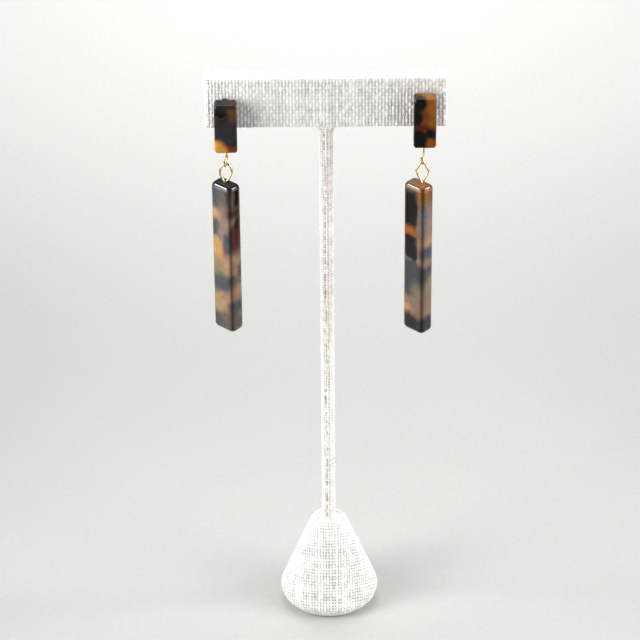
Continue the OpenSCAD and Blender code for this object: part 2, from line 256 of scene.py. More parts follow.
for label, mine, other, sign, radius, fullness, slub in (
        ("warp", "X", "Y", 1.0, "Warp Radius", "Warp Fullness", weaveSpec["warpSlub"]),
        ("weft", "Y", "X", -1.0, "Weft Radius", "Weft Fullness", weaveSpec["weftSlub"])):
    number = addNode(weaver, "Math", {0: across.outputs[mine]}, operation="FLOOR")
    key = addNode(weaver, "CombineXYZ", {"X": number, "Y": given["Seed"], "Z": sign})
    luck = addNode(weaver, "TexWhiteNoise", {"Vector": key}, noise_dimensions="3D")
    # A slub is a stretch where the spinner left the thread thick
    along = addNode(weaver, "Math", {0: across.outputs[other], 1: weaveSpec["slubLength"]}, operation="MULTIPLY")
    apart = addNode(weaver, "Math", {0: number, 1: weaveSpec["slubGap"]}, operation="MULTIPLY")
    slubPlace = addNode(weaver, "CombineXYZ", {"X": apart, "Y": along, "Z": given["Seed"]})
    slubs = addNode(weaver, "TexNoise", {"Vector": slubPlace, "Scale": 1.0, "Detail": 1.0})
    thick = addNode(weaver, "Math", {0: slubs.outputs["Fac"], 1: 0.5}, operation="SUBTRACT")
    thick = addNode(weaver, "Math", {0: thick, 1: slub * weaveSpec["slubGain"]}, operation="MULTIPLY")
    chance = addNode(weaver, "Math", {0: luck.outputs["Value"], 1: 0.5}, operation="SUBTRACT")
    chance = addNode(weaver, "Math", {0: chance, 1: given["Unevenness"], 2: given[fullness]}, operation="MULTIPLY_ADD")
    width = addNode(weaver, "Math", {0: thick, 1: chance}, operation="ADD")
    # How far a point lies from the thread's middle line, in half widths of the thread
    ratio = across.outputs[mine]
    for value, operation in ((number, "SUBTRACT"), (0.5, "SUBTRACT"), (width, "DIVIDE"), (2.0, "MULTIPLY")):
        ratio = addNode(weaver, "Math", {0: ratio, 1: value}, operation=operation)
    # Round on top, and a steep flank past its own width
    square = addNode(weaver, "Math", {0: ratio, 1: ratio}, operation="MULTIPLY")
    inside = addNode(weaver, "Math", {0: 1.0, 1: square}, operation="SUBTRACT")
    inside = addNode(weaver, "Math", {0: inside, 1: 0.0}, operation="MAXIMUM")
    arch = addNode(weaver, "Math", {0: inside}, operation="SQRT")
    arch = addNode(weaver, "Math", {0: arch, 1: width}, operation="MULTIPLY")
    beyond = addNode(weaver, "Math", {0: square, 1: 1.0}, operation="SUBTRACT")
    beyond = addNode(weaver, "Math", {0: beyond, 1: 0.0}, operation="MAXIMUM")
    arch = addNode(weaver, "Math", {0: beyond, 1: weaveSpec["flank"], 2: arch}, operation="MULTIPLY_ADD")
    body = addNode(weaver, "Math", {0: arch, 1: given[radius]}, operation="MULTIPLY")
    # The thread dips under one crossing and climbs over the next
    phase = addNode(weaver, "Math", {0: across.outputs[other], 1: number}, operation="ADD")
    phase = addNode(weaver, "Math", {0: phase, 1: math.pi, 2: -math.pi / 2}, operation="MULTIPLY_ADD")
    wave = addNode(weaver, "Math", {0: phase}, operation="COSINE")
    wave = addNode(weaver, "Math", {0: wave, 1: given["Crimp"]}, operation="MULTIPLY")
    wave = addNode(weaver, "Math", {0: wave, 1: sign}, operation="MULTIPLY")
    threads[label] = {
        "height": addNode(weaver, "Math", {0: body, 1: wave}, operation="ADD"), "luck": luck.outputs["Value"],
        "slub": thick}
warp, weft = threads["warp"], threads["weft"]
highest = addNode(weaver, "Math", {0: warp["height"], 1: weft["height"]}, operation="MAXIMUM")
bottom = addNode(weaver, "Math", {0: given["Crimp"], 1: weaveSpec["bottom"]}, operation="MULTIPLY")
height = addNode(weaver, "Math", {0: highest, 1: bottom}, operation="MAXIMUM")
onTop = addNode(weaver, "Math", {0: warp["height"], 1: weft["height"]}, operation="GREATER_THAN")
# Painted shade in the pinholes: the deeper a point lies in the weave, the darker it is painted
low = addNode(weaver, "Math", {0: given["Weft Radius"], 1: weaveSpec["gapFrom"]}, operation="MULTIPLY")
deep = addNode(weaver, "MapRange", {"Value": height, "From Min": low, "From Max": bottom})
# Painted light and shade: points high on a thread are painted brighter and low ones greyer, and the weft is painted
# darker, as shade where it takes less of the side light; slubs add to it
peak = addNode(weaver, "Math", {0: given["Warp Radius"], 1: weaveSpec["crownAt"], 2: given["Crimp"]},
               operation="MULTIPLY_ADD")
below = addNode(weaver, "MapRange", {"Value": height, "From Min": peak, "From Max": 0.0})
below = addNode(weaver, "Math", {0: below, 1: given["Shade Depth"]}, operation="MULTIPLY")
crown = addNode(weaver, "Math", {0: 1.0, 1: below}, operation="SUBTRACT")
cast = addNode(weaver, "Mix", {0: onTop, 2: given["Weft Shade"], 3: 1.0})
crown = addNode(weaver, "Math", {0: crown, 1: cast}, operation="MULTIPLY")
crown = addNode(weaver, "Math", {0: warp["slub"], 1: given["Streak"], 2: crown}, operation="MULTIPLY_ADD")
tone = addNode(weaver, "Mix", {0: onTop, 2: weft["luck"], 3: warp["luck"]})
share = addNode(weaver, "SeparateXYZ", {0: place})
# Raised threads stay inside the skin, and the relief dies out where the cloth is pressed flat
rise = addNode(weaver, "Math", {0: height, 1: given["Warp Radius"]}, operation="SUBTRACT")
rise = addNode(weaver, "Math", {0: rise, 1: share.outputs["Z"]}, operation="MULTIPLY")
lift = addNode(weaver, "VectorMath", {0: addNode(weaver, "GeometryNodeInputNormal"), "Scale": rise}, operation="SCALE")
# The painted pinhole shade fades with the relief
shown = addNode(weaver, "Math", {0: deep, 1: share.outputs["Z"]}, operation="MULTIPLY")
shown = addNode(weaver, "Math", {0: shown, 1: given["Gap Depth"]}, operation="MULTIPLY")
# The painted pinhole shade is patchy, full in some places and faint in others
glued = addNode(weaver, "TexNoise", {
    "Vector": place, "W": given["Seed"], "Scale": 1 / (weaveSpec["glue"] * mm), "Detail": 2.0}, noise_dimensions="4D")
glued = addNode(weaver, "MapRange", {
    "Value": glued.outputs["Fac"], "From Min": weaveSpec["glueShut"], "From Max": weaveSpec["glueOpen"]})
glued = addNode(weaver, "Math", {0: glued, 1: given["Patchiness"]}, operation="MULTIPLY")
openHoles = addNode(weaver, "Math", {0: 1.0, 1: glued}, operation="SUBTRACT")
shown = addNode(weaver, "Math", {0: shown, 1: openHoles}, operation="MULTIPLY")
# Painted shade along the stem's seam darkens the weave further there
seam = addNode(weaver, "GeometryNodeInputNamedAttribute", {"Name": "seam"}, data_type="FLOAT")
shown = addNode(weaver, "Math", {0: shown, 1: seam}, operation="MAXIMUM")
kept = given["Geometry"]
for label, value in (("cavityShade", shown), ("threadShade", tone), ("crown", crown)):
    kept = addNode(weaver, "GeometryNodeStoreNamedAttribute", {"Geometry": kept, "Name": label, "Value": value})
moved = addNode(weaver, "GeometryNodeSetPosition", {"Geometry": kept, "Offset": lift})
plain = addNode(weaver, "GeometryNodeRealizeInstances", {"Geometry": moved})
dressed = addNode(weaver, "GeometryNodeSetMaterial", {"Geometry": plain, "Material": given["Material"]})
addNode(weaver, "NodeGroupOutput", {"Geometry": dressed})

# Loose fibres that stand out of the cloth: bent hairs of three sides, scattered over a surface, fewer
# where the weave lies flat. Each leans up to lean, in radians, is turned anyhow, and stays clear of the
# floor by clear, in mm.
hairSpec = {"lean": 0.7, "shortest": 0.35, "clear": 0.03}
hairer, given = newShaper("looseFibres", {
    "Count": ("Float", 60000.0), "Length": ("Float", 1.2 * mm), "Seed": ("Int", 1), "Material": ("Material", None)})
strand = addNode(hairer, "GeometryNodeCurveQuadraticBezier", {
    "Resolution": 5, "Start": (0, 0, -0.05), "Middle": (0.1, 0.1, 0.6), "End": (0.75, 0.25, 0.55)})
ring = addNode(hairer, "GeometryNodeCurvePrimitiveCircle", {"Resolution": 3, "Radius": 0.015})
hair = addNode(hairer, "GeometryNodeCurveToMesh", {"Curve": strand, "Profile Curve": ring, "Fill Caps": True})
relief = addNode(hairer, "GeometryNodeInputNamedAttribute", {"Name": "weavePlace"}, data_type="FLOAT_VECTOR")
relief = addNode(hairer, "SeparateXYZ", {0: relief})
density = addNode(hairer, "Math", {0: given["Count"], 1: relief.outputs["Z"]}, operation="MULTIPLY")
dots = addNode(hairer, "GeometryNodeDistributePointsOnFaces", {
    "Mesh": given["Geometry"], "Density": density, "Seed": given["Seed"]})
spin = addNode(hairer, "FunctionNodeRandomValue", {
    "Min": (-hairSpec["lean"], -hairSpec["lean"], 0.0), "Max": (hairSpec["lean"], hairSpec["lean"], 6.28),
    "Seed": given["Seed"]}, data_type="FLOAT_VECTOR")
tilted = addNode(hairer, "FunctionNodeRotateRotation", {"Rotation": dots.outputs["Rotation"], "Rotate By": spin},
                 rotation_space="LOCAL")
sizeOf = addNode(hairer, "FunctionNodeRandomValue", {2: hairSpec["shortest"], 3: 1.0, "Seed": given["Seed"]})
longer = addNode(hairer, "Math", {0: sizeOf.outputs[1], 1: given["Length"]}, operation="MULTIPLY")
planted = addNode(hairer, "GeometryNodeInstanceOnPoints", {
    "Points": dots.outputs["Points"], "Instance": hair, "Rotation": tilted, "Scale": longer})
loose = addNode(hairer, "GeometryNodeRealizeInstances", {"Geometry": planted})
whereHairs = addNode(hairer, "SeparateXYZ", {0: addNode(hairer, "GeometryNodeInputPosition")})
above = addNode(hairer, "Math", {0: whereHairs.outputs["Z"], 1: hairSpec["clear"] * mm}, operation="MAXIMUM")
laid = addNode(hairer, "CombineXYZ", {"X": whereHairs.outputs["X"], "Y": whereHairs.outputs["Y"], "Z": above})
loose = addNode(hairer, "GeometryNodeSetPosition", {"Geometry": loose, "Position": laid})
furred = addNode(hairer, "GeometryNodeSetMaterial", {"Geometry": loose, "Material": given["Material"]})
addNode(hairer, "NodeGroupOutput", {"Geometry": furred})
print("linen and its weave ready")


# A box with rounded edges, in points spread over its six sides. Gives the points on the sharp box,
# the same points drawn in to the rounding, and the faces.
def roundedBlock(size, radius, step):
    lines = []
    for length in size:
        flat = length / 2 - radius
        bend = flat + radius * np.tan(np.linspace(0, math.pi / 4, max(3, round(radius * math.pi / 4 / step)) + 1))[1:]
        middle = np.linspace(-flat, flat, max(2, round(2 * flat / step)) + 1)
        lines.append(np.concatenate([-bend[::-1], middle, bend]))
    counts = [len(line) for line in lines]
    quads = []
    for axis in range(3):
        first, second = [a for a in range(3) if a != axis]
        one, two = np.meshgrid(np.arange(counts[first]), np.arange(counts[second]), indexing="ij")
        for far in (0, 1):
            index = [None, None, None]
            index[axis] = np.full_like(one, far * (counts[axis] - 1))
            index[first], index[second] = one, two
            key = (index[0] * counts[1] + index[1]) * counts[2] + index[2]
            quad = np.stack([key[:-1, :-1], key[1:, :-1], key[1:, 1:], key[:-1, 1:]], -1).reshape(-1, 4)
            quads.append(quad if (far == 1) != (axis == 1) else quad[:, ::-1])
    used, faces = np.unique(np.concatenate(quads), return_inverse=True)
    index = (used // (counts[1] * counts[2]), used // counts[2] % counts[1], used % counts[2])
    sharp = np.stack([lines[a][index[a]] for a in range(3)], -1)
    core = np.array(size) / 2 - radius
    inner = np.clip(sharp, -core, core)
    out = sharp - inner
    rounded = inner + radius * out / np.linalg.norm(out, axis=1, keepdims=True)
    return sharp, rounded, faces.reshape(-1, 4)


# A closed surface turned about the Z axis, from its top point down to its bottom one. Angle 0 is the
# front. Each ring may have its own half width and half depth. The last two points are the poles.
def turnedSkin(wide, deep, heights, steps, startAngle=0.0):
    angles = startAngle + np.arange(steps) * 2 * math.pi / steps
    rings = np.stack([
        np.outer(wide, np.sin(angles)), np.outer(deep, -np.cos(angles)), np.outer(heights, np.ones(steps))], -1)
    count = len(heights)
    points = np.concatenate([rings.reshape(-1, 3), [(0, 0, heights[0]), (0, 0, heights[-1])]])
    grid = np.arange(count * steps).reshape(count, steps)
    after = np.roll(grid, -1, axis=1)
    quads = np.stack([grid[:-1], grid[1:], after[1:], after[:-1]], -1).reshape(-1, 4).tolist()
    top, low = count * steps, count * steps + 1
    caps = [(top, a, b) for a, b in zip(grid[0], after[0])] + [(low, b, a) for a, b in zip(grid[-1], after[-1])]
    return points, quads + caps, angles


# Weaves the cloth into a gridded skin, gives it its fibres, and hands both to the stand
def finishLinen(blank, name, node, spec):
    cloth = shapeWith(weaver, blank, name, {
        "Thread Pitch": linenSpec["threadPitch"] * mm, "Crimp": spec["crimp"] * mm,
        "Warp Fullness": spec["fullness"][0], "Weft Fullness": spec["fullness"][1], "Streak": spec["streak"],
        "Shade Depth": spec["shadeDepth"], "Gap Depth": spec["gapDepth"], "Patchiness": spec["patchiness"],
        "Weft Shade": spec["weftShade"], "Seed": float(spec["seed"]), "Material": linenCloth})
    hairs = shapeWith(hairer, blank, name + "Fibres", {
        "Count": spec["fibresPerSquareMm"] * 1e6, "Length": spec["fibreLength"] * mm, "Seed": spec["seed"],
        "Material": linenCloth})
    bpy.data.objects.remove(blank)
    for piece in (cloth, hairs):
        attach(piece, "stand")
    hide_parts(node)
    return cloth


# The crossbar: a flat strip of board wrapped in linen, threads upright on its front
crossbarSpec = {"edge": 0.6, "step": 0.175, "crimp": 0.095, "fullness": (0.74, 0.7), "shadeDepth": 0.62,
                "gapDepth": 0.34, "patchiness": 0.2, "weftShade": 0.74, "streak": 0.85, "weftStretch": 1.15,
                "fibresPerSquareMm": 0.5, "fibreLength": 1.1, "seed": 3}
low, high = (Vector(corner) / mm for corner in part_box("crossbar"))
size = np.array(high - low)
sharp, rounded, faces = roundedBlock(size, crossbarSpec["edge"], crossbarSpec["step"])
length, depth, tall = size
x, y, z = sharp.T
# The cloth turns the corners at the ends, and goes over the top and down the back, and under the bottom
touch = 1e-6
atFront, atBack = y < -depth / 2 + touch, y > depth / 2 - touch
atEnd, atTop = np.abs(x) > length / 2 - touch, z > tall / 2 - touch
along = np.where(atEnd, x + np.sign(x) * (y + depth / 2), x)
upwards = np.select([atFront, atEnd, atTop, atBack], [z, z, tall / 2 + y + depth / 2, tall - z + depth],
                    -tall / 2 - y - depth / 2)
weavePlace = np.stack([along, upwards / crossbarSpec["weftStretch"], np.ones(len(x))], -1)
blank = newObject("crossbarBlank", (rounded + np.array(low + high) / 2) * mm, faces)
keepOnPoints(blank, "weavePlace", "FLOAT_VECTOR", weavePlace * (mm, mm, 1))
finishLinen(blank, "crossbarLinen", "crossbar", crossbarSpec)
print("crossbar woven")

# The stem: a rod wrapped once in linen, its lapped edge a seam just left of the front. Shade is painted
# along the seam: it wanders over runs of that many mm and is darker where the lap gapes by chance; a warm
# tint lies beside it, each strength at its height.
stemSpec = {"radius": 1.85, "flareHalf": 3.7, "flareHeight": 3.3, "clipHalf": 1.9, "step": 0.2, "around": 64,
            "tuckedTop": 0.25, "tuckedFoot": 1.2, "seamAt": -14, "lap": 0.14, "lapFade": 7, "groove": 0.28,
            "grooveFade": 40, "crimp": 0.08, "fullness": (0.68, 0.62), "shadeDepth": 0.45, "gapDepth": 1.0,
            "patchiness": 0.5, "weftShade": 0.86, "streak": 0.5, "fibresPerSquareMm": 0.12, "fibreLength": 0.8,
            "seed": 5, "wander": 0.45, "wanderRun": 9.0, "gape": 0.45, "gapeSwing": 2.0, "gapeRun": 1.3,
            "gapeLongRun": 7, "gapeMost": 0.9, "seamHalf": 0.17, "tintAside": 0.8, "tintHalf": 0.95,
            "speckle": 0.55, "speckleSwing": 1.3, "speckleSize": (0.9, 1.7), "pinkAbove": 97, "pinkFade": 6,
            "tintHeights": (20, 32, 45, 75, 84, 95, 101, 112, 122, 132, 145),
            "tintStrengths": (0.9, 0.7, 0.2, 0.4, 1.2, 1.2, 0.9, 0.8, 0.2, 0.7, 0.9),
            "yellow": "#d3c591", "pink": "#ead0bf"}
low, high = (Vector(corner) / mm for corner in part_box("stem"))
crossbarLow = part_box("crossbar")[0].z / mm
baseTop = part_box("base_cover")[1].z / mm
heights = np.arange(crossbarLow + stemSpec["tuckedTop"], baseTop - stemSpec["tuckedFoot"], -stemSpec["step"])
out = stemSpec["flareHalf"] - stemSpec["radius"]
arc = (out ** 2 + stemSpec["flareHeight"] ** 2) / (2 * out)
fromFlare = np.clip(heights - (crossbarLow - stemSpec["flareHeight"]), 0, stemSpec["flareHeight"])
wide = stemSpec["radius"] + arc - np.sqrt(arc ** 2 - fromFlare ** 2)
deep = np.minimum(wide, stemSpec["clipHalf"])
points, faces, angles = turnedSkin(wide, deep, heights, stemSpec["around"], math.radians(stemSpec["seamAt"]))
# The cloth's upper edge lies on its start, a lap that fades round to the right of the seam
past = np.tile(np.arange(stemSpec["around"]) / stemSpec["around"], len(heights))
lap = stemSpec["lap"] * np.exp(-past * stemSpec["lapFade"])
lap -= stemSpec["groove"] * np.exp(-(np.minimum(past, 1 - past) * stemSpec["grooveFade"]) ** 2)
radial = points[:-2, :2] / np.linalg.norm(points[:-2, :2], axis=1, keepdims=True)
points[:-2, :2] += radial * lap[:, None]
blank = newObject("stemBlank", points * mm, faces)
girth = 2 * math.pi * stemSpec["radius"]
weavePlace = np.stack([past * girth, points[:-2, 2], np.ones(len(past))], -1)
weavePlace = np.concatenate([weavePlace, np.zeros((2, 3))])
keepOnPoints(blank, "weavePlace", "FLOAT_VECTOR", weavePlace * (mm, mm, 1))


# Smooth chance up the stem, one value for each point of each ring, over runs of that many mm
def chanceUp(run, place):
    return np.repeat([noise.noise(Vector((*place, h / run))) for h in heights], stemSpec["around"])


# The seam's painted shade wanders a little, and is painted darker where the lap stands open
heightOf = points[:-2, 2]
wander = stemSpec["wander"] * chanceUp(stemSpec["wanderRun"], (0, 1.3))
gape = stemSpec["gape"] + stemSpec["gapeSwing"] * chanceUp(stemSpec["gapeRun"], (4.1, 0))
gape += chanceUp(stemSpec["gapeLongRun"], (8.2, 0))
fromSeam = np.where(past > 0.5, past - 1, past) * girth - wander
seam = np.clip(gape, 0, stemSpec["gapeMost"]) * np.exp(-(fromSeam / stemSpec["seamHalf"]) ** 2)
keepOnPoints(blank, "seam", "FLOAT", np.concatenate([seam, [0, 0]]))
# A warm tint beside it, yellow low down and pink higher up, in speckles
strength = np.interp(heightOf, stemSpec["tintHeights"], stemSpec["tintStrengths"])
acrossRun, upRun = stemSpec["speckleSize"]
speckle = stemSpec["speckle"] + stemSpec["speckleSwing"] * np.array(
    [noise.noise(Vector((f / acrossRun, 2.7, h / upRun))) for f, h in zip(fromSeam, heightOf)])
strength *= np.clip(speckle, 0, 1) * np.exp(-((fromSeam - stemSpec["tintAside"]) / stemSpec["tintHalf"]) ** 2)
share = np.clip((heightOf - stemSpec["pinkAbove"]) / stemSpec["pinkFade"], 0, 1)[:, None]
warmTint = np.array(linear(stemSpec["yellow"])) * (1 - share) + np.array(linear(stemSpec["pink"])) * share
keepOnPoints(blank, "warmTint", "FLOAT_COLOR", np.concatenate([warmTint, np.ones((2, 4))]))
keepOnPoints(blank, "tintShare", "FLOAT", np.concatenate([np.clip(strength, 0, 1), [0, 0]]))
finishLinen(blank, "stemLinen", "stem", stemSpec)
print("stem wrapped")

# The base: one piece of linen drawn round a weighted cone, so its threads fan out from the front. The
# weave dies out at the sole, from relief down to flat, in mm above the floor.
baseSpec = {"widest": 26.9, "topFlat": 6.4, "shoulder": 2.0, "foot": 3.4, "step": 0.2, "around": 400,
            "crimp": 0.06, "fullness": (0.68, 0.64), "shadeDepth": 0.9, "gapDepth": 1.0,
            "patchiness": 0.4, "weftShade": 0.83, "streak": 0.34, "fibresPerSquareMm": 0.26, "fibreLength": 1.4,
            "seed": 8, "topRings": (0.4, 1.4, 2.4), "soleRings": (9.0, 8.0, 6.0, 3.0), "flat": 0.15, "relief": 1.35}
low, high = (Vector(corner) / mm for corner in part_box("base_cover"))
shoulder = (baseSpec["topFlat"] / 2, high.z - baseSpec["shoulder"], baseSpec["shoulder"])
foot = (baseSpec["widest"] / 2 - baseSpec["foot"], baseSpec["foot"], baseSpec["foot"])
dx, dz = foot[0] - shoulder[0], shoulder[1] - foot[1]
side = math.acos((shoulder[2] - foot[2]) / math.hypot(dx, dz)) - math.atan2(dz, dx)
outline = [(radius, high.z) for radius in (*baseSpec["topRings"], shoulder[0])]
for centre, start, end in ((shoulder, math.pi / 2, side), (foot, side, -math.pi / 2)):
    bends = np.linspace(start, end, max(3, math.ceil(centre[2] * abs(end - start) / baseSpec["step"])) + 1)
    if centre is foot:
        a = (shoulder[0] + shoulder[2] * math.cos(side), shoulder[1] + shoulder[2] * math.sin(side))
        b = (foot[0] + foot[2] * math.cos(side), foot[1] + foot[2] * math.sin(side))
        count = round(math.dist(a, b) / baseSpec["step"])
        outline += [tuple(np.array(a) + (np.array(b) - a) * n / count) for n in range(1, count)]
    outline += [(centre[0] + centre[2] * math.cos(t), centre[1] + centre[2] * math.sin(t)) for t in bends]
outline += [(radius, 0.0) for radius in baseSpec["soleRings"]]
outline = np.array([p for n, p in enumerate(outline) if n == 0 or math.dist(p, outline[n - 1]) > 0.02])
points, faces, angles = turnedSkin(outline[:, 0], outline[:, 0], outline[:, 1], baseSpec["around"])
# The place in the cloth is the cone's skin rolled out flat, about the cone's own apex
run = np.concatenate([[0], np.cumsum(np.linalg.norm(np.diff(outline, axis=0), axis=1))])
slope = math.atan2(b[0] - a[0], a[1] - b[1])
fromApex = run - np.interp(a[1], outline[::-1, 1], run[::-1]) + a[0] / math.sin(slope)
wrapped = (angles + math.pi) % (2 * math.pi) - math.pi
fan = wrapped * math.sin(slope)
reliefShare = np.clip((outline[:, 1] - baseSpec["flat"]) / (baseSpec["relief"] - baseSpec["flat"]), 0, 1)
weavePlace = np.stack([
    np.outer(fromApex, np.sin(fan)), -np.outer(fromApex, np.cos(fan)),
    np.outer(reliefShare, np.ones(len(fan)))], -1).reshape(-1, 3)
weavePlace = np.concatenate([weavePlace, np.zeros((2, 3))])
blank = newObject("baseBlank", points * mm, faces)
keepOnPoints(blank, "weavePlace", "FLOAT_VECTOR", weavePlace * (mm, mm, 1))
finishLinen(blank, "baseLinen", "base_cover", baseSpec)
print("base covered")

# Tortoiseshell cellulose acetate, cut from patterned block and tumbled to a polish: clouds of honey,
# amber and ink that run through its depth, under a hard even gloss
# The grey tones (graphite, slate, smoke, dove, lead) are painted reflection of the pale room in the gloss, and tan,
# sand, blush and peach are amber greyed by a painted reflection
acetateTones = {"ink": "#0c0908", "coal": "#1f1c1c", "graphite": "#2c2c2f", "slate": "#44464a", "smoke": "#574f48",
                "dove": "#62636a", "olive": "#766a52", "moss": "#8a7c52", "straw": "#ad8650", "tan": "#7b6353",
                "bark": "#6b5c4a", "blush": "#7b675e", "sand": "#92745b", "peach": "#ad815c", "honey": "#c58938",
                "ember": "#b2611c", "amber": "#885520", "copper": "#94541f", "rust": "#74371b",
                "oxblood": "#4d1e19", "umber": "#3a261b", "russet": "#5f4026", "lead": "#3a3c40"}
acetate, tree = newMaterial("celluloseAcetateTumbled")
pigment = addNode(tree, "Attribute", attribute_name="pigment")
where = addNode(tree, "TexCoord")
veil = addNode(tree, "TexNoise", {
    "Vector": where.outputs["Object"], "Scale": 1 / (2.2 * mm), "Detail": 5.0, "Roughness": 0.6, "Distortion": 0.6})
veilTone = addNode(tree, "MapRange", {
    "Value": veil.outputs["Fac"], "From Min": 0.3, "From Max": 0.7, "To Min": 0.82, "To Max": 1.16})
clouded = addNode(tree, "VectorMath", {0: pigment.outputs["Color"], "Scale": veilTone.outputs["Result"]},
                  operation="SCALE")
polish = addNode(tree, "TexNoise", {"Vector": where.outputs["Object"], "Scale": 1 / (6 * mm), "Detail": 2.0})
polishBump = addNode(tree, "Bump", {"Height": polish.outputs["Fac"], "Strength": 0.25, "Distance": 0.08 * mm})
shell = addNode(tree, "BsdfPrincipled", {
    "Base Color": clouded, "Roughness": 0.09, "IOR": 1.48, "Specular IOR Level": 0.32, "Subsurface Weight": 0.25,
    "Subsurface Radius": (0.9, 0.45, 0.2), "Subsurface Scale": 0.6 * mm, "Normal": polishBump})
addNode(tree, "OutputMaterial", {"Surface": shell})
